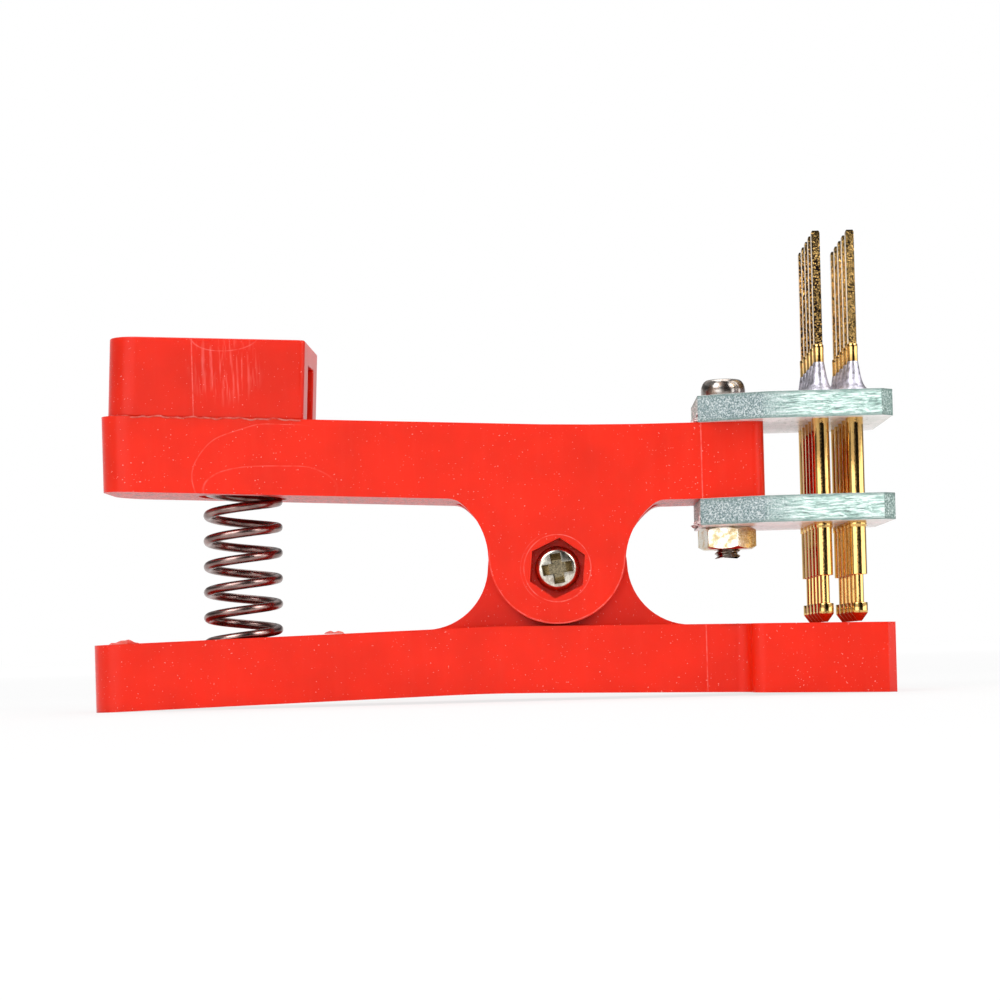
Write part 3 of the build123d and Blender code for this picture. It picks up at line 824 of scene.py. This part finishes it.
class MakeScrews(Operator):
    """Makes the pivot screw and the board screw, with domed heads, cross recesses and threads"""
    bl_idname = "clamp.screws"
    bl_label = "Screws"

    def execute(self, context):
        sizes = context.scene.clamp_sizes
        pivot = pan_screw("pivot_screw_body", shank_length=8.0, recess_turn=8.4, sizes=sizes)
        placed(pivot, (PIVOT[0], -POCKET_FLOOR, PIVOT[1]), (radians(90), 0, 0))
        smoothed(pivot, 32)
        finished(pivot, material_for("pivot steel"), "upper_arm", "screw_steel", "pivot_screw")
        board = pan_screw("board_screw_body", shank_length=12.0, recess_turn=25.0, sizes=sizes)
        placed(board, (BOARD_SCREW_X, 0, UPPER_BOARD_TOP))
        smoothed(board, 32)
        finished(board, material_for("screw steel"), "upper_arm", "screw_steel", "board_screw")
        return {"FINISHED"}


def chamfered_nut(name, turn, sizes):
    """Upright hexagon nut from the origin up, chamfered at both ends, with a bored middle."""
    height = NUT_HEIGHT
    corner = NUT_ACROSS / 2 / cos(pi / 6)
    chamfer = sizes.nut_chamfer / MM
    nut = added(name, bpy.ops.mesh.primitive_cylinder_add, vertices=6, radius=corner * MM,
                depth=(height + 0.2) * MM)
    placed(nut, (0, 0, height / 2), (0, 0, radians(turn)))
    face = NUT_ACROSS / 2 - 0.07
    slope = turned("slope", [(face, 0), (corner + 0.02, chamfer), (corner + 0.02, height - chamfer),
                             (face, height)], 48)
    cut(nut, slope, "INTERSECT")
    bore = turned("bore", [(1.32, -0.1), (1.02, 0.2), (1.02, height - 0.2), (1.32, height + 0.1)], 32)
    cut(nut, bore)
    return tidied(nut)


class MakeNuts(Operator):
    """Makes the two hexagon nuts"""
    bl_idname = "clamp.nuts"
    bl_label = "Nuts"

    def execute(self, context):
        sizes = context.scene.clamp_sizes
        pivot = chamfered_nut("pivot_nut_body", 0, sizes)
        placed(pivot, (PIVOT[0], POCKET_FLOOR, PIVOT[1]), (radians(-90), radians(5.7), 0))
        smoothed(pivot, 30)
        finished(pivot, material_for("nut steel"), "upper_arm", "nut_steel", "pivot_nut")
        board = chamfered_nut("board_nut_body", 90 - 11.8, sizes)
        placed(board, (BOARD_SCREW_X, 0, LOWER_BOARD_BASE - NUT_HEIGHT))
        smoothed(board, 30)
        finished(board, material_for("nut steel"), "upper_arm", "nut_steel", "board_nut")
        return {"FINISHED"}


def splinter(place, size, turn):
    """Small torn crumb of laminate; place and size in millimetres, turn in degrees."""
    piece = added("splinter", bpy.ops.mesh.primitive_ico_sphere_add, subdivisions=2, radius=0.5 * MM)
    for vertex in piece.data.vertices:
        x, y, z = vertex.co / MM
        vertex.co *= 1 + 0.35 * sin(17 * x + 5 * turn) * cos(13 * y - 11 * z)
    piece.scale = size
    placed(piece, place, (0, radians(turn), radians(turn * 2)))
    return marked(tidied(piece), "torn")


class DressBoards(Operator):
    """Softens the edges of the two glass-epoxy boards"""
    bl_idname = "clamp.boards"
    bl_label = "Boards"

    def execute(self, context):
        for board in ("upper_board", "lower_board"):
            piece = copy_of_node(board, f"{board}_plate")
            edge_rounded(piece, context.scene.clamp_sizes.board_rounding, 2)
            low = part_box(board)[0] / MM
            joined(piece, *[splinter((low.x + dx, BOARD_CORNER_Y + dy, low.z + dz), size, turn)
                            for dx, dy, dz, size, turn in TORN_BITS])
            finished(piece, material_for("board laminate"), "upper_arm", "board_laminate", board)
        return {"FINISHED"}


def squared_ring(piece, height, half):
    """Moves the ring at one height on to a square outline."""
    for vertex in piece.data.vertices:
        if abs(vertex.co.z - height * MM) < 1e-7:
            reach = max(abs(vertex.co.x), abs(vertex.co.y))
            if reach:
                vertex.co.x *= half * MM / reach
                vertex.co.y *= half * MM / reach


def on_every_probe(first, kind, body, slot, node):
    """Puts a finished copy of a piece on every probe and deletes the piece itself."""
    copies = []
    for name, x, y in probe_places():
        piece = copied(first, f"{first.name}_{name}", (x, y, 0))
        finished(piece, material_for(kind), body.format(name), slot, f"{node}_{name}")
        copies.append((piece, name, x, y))
    deleted(first)
    return copies


class MakeReceptacles(Operator):
    """Makes the ten receptacle tubes with their press rings, crimped necks and square tails"""
    bl_idname = "clamp.receptacles"
    bl_label = "Receptacles"

    def execute(self, context):
        rings = [(0.53, 22.2), (0.53, TUBE_BOTTOM + 0.06), (0.56, TUBE_BOTTOM), (0.63, TUBE_BOTTOM),
                 (0.66, TUBE_BOTTOM + 0.04), (0.66, 12.35), (0.70, 12.36), (0.72, 12.41), (0.72, 12.74),
                 (0.70, 12.80), (0.66, 12.80), (0.66, 22.40), (0.62, 22.52), (0.46, 22.80), (0.40, 23.05),
                 (0.40, 25.20), (0.39, 25.32), (0.40, 25.44), (0.41, 25.75), (0.40, 25.95), (0.38, 26.0),
                 (0.372, 26.03), (0.370, 26.2), (0.368, 34.35), (0.30, 34.5)]
        first = turned("receptacle_tube", rings, 32)
        for height in (26.03, 26.2, 34.35):
            squared_ring(first, height, TAIL_HALF)
        squared_ring(first, 34.5, TAIL_HALF - 0.07)
        smoothed(first, 30)
        on_every_probe(first, "plated gold", "upper_arm", "probe_gold", "receptacle")
        return {"FINISHED"}


class MakePlungers(Operator):
    """Makes the ten plungers with their conical heads"""
    bl_idname = "clamp.plungers"
    bl_label = "Plungers"

    def execute(self, context):
        low = TIP_HEIGHT
        rings = [(0.15, low), (0.175, low + 0.012), (0.60, low + 0.57), (0.635, low + 0.62), (0.64, low + 0.66),
                 (0.64, low + 1.34), (0.62, low + 1.38), (0.58, low + 1.39), (0.40, low + 1.39),
                 (0.365, low + 1.43), (0.365, 9.08), (0.40, 9.12), (0.40, 11.66), (0.37, 11.70)]
        first = turned("plunger_pin", rings, context.scene.clamp_sizes.round_steps)
        smoothed(first, 32)
        on_every_probe(first, "plated gold", "probe_{}", "probe_gold", "plunger")
        return {"FINISHED"}


class MakeBarrels(Operator):
    """Makes the ten barrels that hold the plungers and their springs"""
    bl_idname = "clamp.barrels"
    bl_label = "Barrels"

    def execute(self, context):
        rings = [(0.42, 21.60), (0.42, 9.12), (0.385, 9.04), (0.385, 8.84), (0.41, 8.80), (0.48, 8.80),
                 (0.51, 8.85), (0.51, 21.74), (0.48, 21.80)]
        first = turned("barrel_shell", rings, context.scene.clamp_sizes.round_steps)
        smoothed(first, 32)
        on_every_probe(first, "plated gold", "upper_arm", "probe_gold", "barrel")
        return {"FINISHED"}


class MakeProbeSprings(Operator):
    """Winds the ten fine springs inside the barrels"""
    bl_idname = "clamp.probe_springs"
    bl_label = "Probe springs"

    def execute(self, context):
        low, high, wire, radius, pitch = 11.72, 21.58, 0.11, 0.335, 0.36
        points = coil_points((0, low), (0, high), radius, wire, pitch, low_left=low, steps=12)
        first = wire_along("probe_coil", points, wire * MM, 1)
        smoothed(first, 60)
        for piece, name, x, y in on_every_probe(first, "spring steel", "upper_arm", "spring_steel", "probe_spring"):
            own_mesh(piece)
        return {"FINISHED"}


class MakeSolder(Operator):
    """Makes the ten concave solder cones on the upper board"""
    bl_idname = "clamp.solder"
    bl_label = "Solder"

    def execute(self, context):
        rings = [(0.665, 22.5), (1.02, 22.5), (1.075, 22.54), (1.05, 22.62), (0.90, 22.78), (0.76, 23.02),
                 (0.65, 23.34), (0.57, 23.72), (0.50, 24.12), (0.45, 24.45), (0.41, 24.68), (0.402, 24.70),
                 (0.402, 23.05), (0.465, 22.80), (0.625, 22.52), (0.665, 22.5)]
        first = turned("solder_cones", rings, 32, ring_shaped=True)
        cones = [copied(first, f"cone_{name}", (x, y, 0)) for name, x, y in probe_places()]
        deleted(first)
        piece = name_piece(joined(*cones), "solder_cones")
        smoothed(piece, 40)
        finished(piece, material_for("dull solder"), "upper_arm", "solder", "solder_joints")
        return {"FINISHED"}


# Stage
CAMERA_PLACE = (5.755, -186.05, 4.13)
CAMERA_ROLL = 1.588
FOCAL_PIXELS = 2425.0
PICTURE_SIDE = 1000.0
PRINCIPAL_POINT = (570.0, 645.0)
AMBIENT_LEVEL = 0.34
# Share of the floor's light that is its own white, and that white's strength by metres from the clamp's middle
FLOOR_SHARE = 0.8
FLOOR_GLOW = ((0.1, 0.98), (0.5, 1.16))
# What shiny surfaces see of the studio, by degrees from the camera's side to the right: two bright panels
STUDIO_BANDS = ((-180, 1.0), (-150, 0.9), (-112, 0.35), (-64, 0.4), (-56, 2.8), (-20, 2.8), (-10, 0.6), (0, 0.5),
                (4, 0.05), (40, 0.05), (46, 2.8), (98, 2.8), (108, 0.4), (140, 0.3), (166, 0.9), (180, 1.0))
# The share of that which they see by degrees above the floor
CEILING_BANDS = ((-90, 1.0), (10, 1.0), (13, 0.25), (25, 0.3), (30, 0.9), (57, 0.9), (64, 0.25), (90, 0.3))


def floor_material(base):
    """White floor that shows as the white background and keeps a soft shadow."""
    look = Finish("white_floor", Base_Color=(*base, 1.0), Roughness=0.9, Specular_IOR_Level=0.1)
    (near, near_glow), (far, far_glow) = FLOOR_GLOW
    strength = look.spread(look.distance(), near, far, near_glow, far_glow)
    glow = look.step("ShaderNodeEmission", {"Color": (1, 1, 1, 1), "Strength": strength})
    share = look.times(look.seen(), FLOOR_SHARE)
    mix = look.step("ShaderNodeMixShader", {0: share, 1: look.shader.outputs[0], 2: glow.outputs[0]})
    look.tree.links.new(mix.outputs[0], look.tree.nodes["Material Output"].inputs["Surface"])
    return look.material


def set_world():
    """White all round for the camera, bright panels for reflections, and a dimmer even light for the object."""
    world = bpy.data.worlds.new("studio")
    bpy.context.scene.world = world
    world.use_nodes = True
    look = Steps(world.node_tree)
    sky = look.tree.nodes["Background"]
    look.tree.links.new(look.spread(look.seen(), 0.0, 1.0, AMBIENT_LEVEL, 1.0), sky.inputs["Strength"])
    direction = look.step("ShaderNodeTexCoord").outputs["Generated"]
    x, y, z = look.step("ShaderNodeSeparateXYZ", {0: direction}).outputs
    round_about = look.sum("ARCTAN2", x, look.times(y, -1.0))
    studio = []
    for angle, reach, bands in ((round_about, 180, STUDIO_BANDS), (look.sum("ARCSINE", z), 90, CEILING_BANDS)):
        stops = [((at / reach + 1) / 2, (level, level, level, 1.0)) for at, level in bands]
        studio.append(look.ramp(look.spread(angle, -radians(reach), radians(reach)), *stops))
    glossy = look.step("ShaderNodeLightPath").outputs["Is Glossy Ray"]
    shown = look.blend(glossy, (1, 1, 1, 1), look.blend(1.0, *studio, "MULTIPLY"))
    look.tree.links.new(shown, sky.inputs["Color"])


def add_lamp(name, place, target, size, power, seen=True):
    """Square soft lamp that points at a place, in metres and watts, seen or not in reflections."""
    deselect_all()
    bpy.ops.object.light_add(type="AREA", location=place)
    lamp = bpy.context.object
    lamp.name = name
    lamp.data.shape = "SQUARE"
    lamp.data.size = size
    lamp.data.energy = power
    lamp.visible_glossy = seen
    aim = Vector(target) - Vector(place)
    lamp.rotation_euler = aim.to_track_quat("-Z", "Y").to_euler()


class SetStage(Operator):
    """Lays the floor and sets the lamps, the world and the camera"""
    bl_idname = "clamp.stage"
    bl_label = "Stage"

    def execute(self, context):
        scene = context.scene
        floor = added("floor", bpy.ops.mesh.primitive_plane_add, size=8.0, location=(0, 0, 0))
        floor.data.materials.append(floor_material(scene.clamp_colours.floor))
        set_world()
        add_lamp("lamp_left", (-0.22, -0.26, 0.28), (0, 0, 0.015), 0.22, 0.58)
        add_lamp("lamp_right", (0.26, -0.22, 0.24), (0.005, 0, 0.015), 0.16, 0.40)
        add_lamp("lamp_top", (0.0, 0.06, 0.34), (0, 0, 0.01), 0.24, 0.56)
        add_lamp("lamp_fill", (-0.02, -0.42, 0.06), (0, 0, 0.012), 0.16, 0.57, seen=False)
        bpy.ops.object.camera_add(location=tuple(value * MM for value in CAMERA_PLACE),
                                  rotation=(radians(90), radians(CAMERA_ROLL), 0))
        camera = bpy.context.object
        camera.data.lens = FOCAL_PIXELS / PICTURE_SIDE * camera.data.sensor_width
        camera.data.shift_x = 0.5 - PRINCIPAL_POINT[0] / PICTURE_SIDE
        camera.data.shift_y = PRINCIPAL_POINT[1] / PICTURE_SIDE - 0.5
        camera.data.clip_start = 0.01
        camera.data.clip_end = 20.0
        scene.camera = camera
        scene.view_settings.view_transform = "Standard"
        return {"FINISHED"}


class ClampPanel(Panel):
    """Shows the sizes, the colours and a button for each kind of piece"""
    bl_label = "Probe clamp"
    bl_idname = "VIEW3D_PT_probe_clamp"
    bl_space_type = "VIEW_3D"
    bl_region_type = "UI"
    bl_category = "Probe clamp"

    def draw(self, context):
        layout = self.layout
        for group in (context.scene.clamp_sizes, context.scene.clamp_colours):
            box = layout.box()
            for prop in group.bl_rna.properties:
                if prop.identifier not in ("rna_type", "name"):
                    box.prop(group, prop.identifier)
        for operator in OPERATORS:
            layout.operator(operator.bl_idname)


OPERATORS = (DressLowerJaw, DressUpperJaw, DressCableGuide, MakeMainSpring, MakeScrews, MakeNuts, DressBoards,
             MakeReceptacles, MakePlungers, MakeBarrels, MakeProbeSprings, MakeSolder, SetStage)
CLASSES = (ClampSizes, ClampColours, *OPERATORS, ClampPanel)


def register():
    for item in CLASSES:
        bpy.utils.register_class(item)
    bpy.types.Scene.clamp_sizes = PointerProperty(type=ClampSizes)
    bpy.types.Scene.clamp_colours = PointerProperty(type=ClampColours)


def unregister():
    del bpy.types.Scene.clamp_colours
    del bpy.types.Scene.clamp_sizes
    for item in reversed(CLASSES):
        bpy.utils.unregister_class(item)


def main():
    """Registers the add-on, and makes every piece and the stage."""
    register()
    bpy.ops.clamp.lower_jaw()
    bpy.ops.clamp.upper_jaw()
    bpy.ops.clamp.cable_guide()
    bpy.ops.clamp.main_spring()
    bpy.ops.clamp.screws()
    bpy.ops.clamp.nuts()
    bpy.ops.clamp.boards()
    bpy.ops.clamp.receptacles()
    bpy.ops.clamp.plungers()
    bpy.ops.clamp.barrels()
    bpy.ops.clamp.probe_springs()
    bpy.ops.clamp.solder()
    bpy.ops.clamp.stage()


if __name__ == "__main__":
    main()
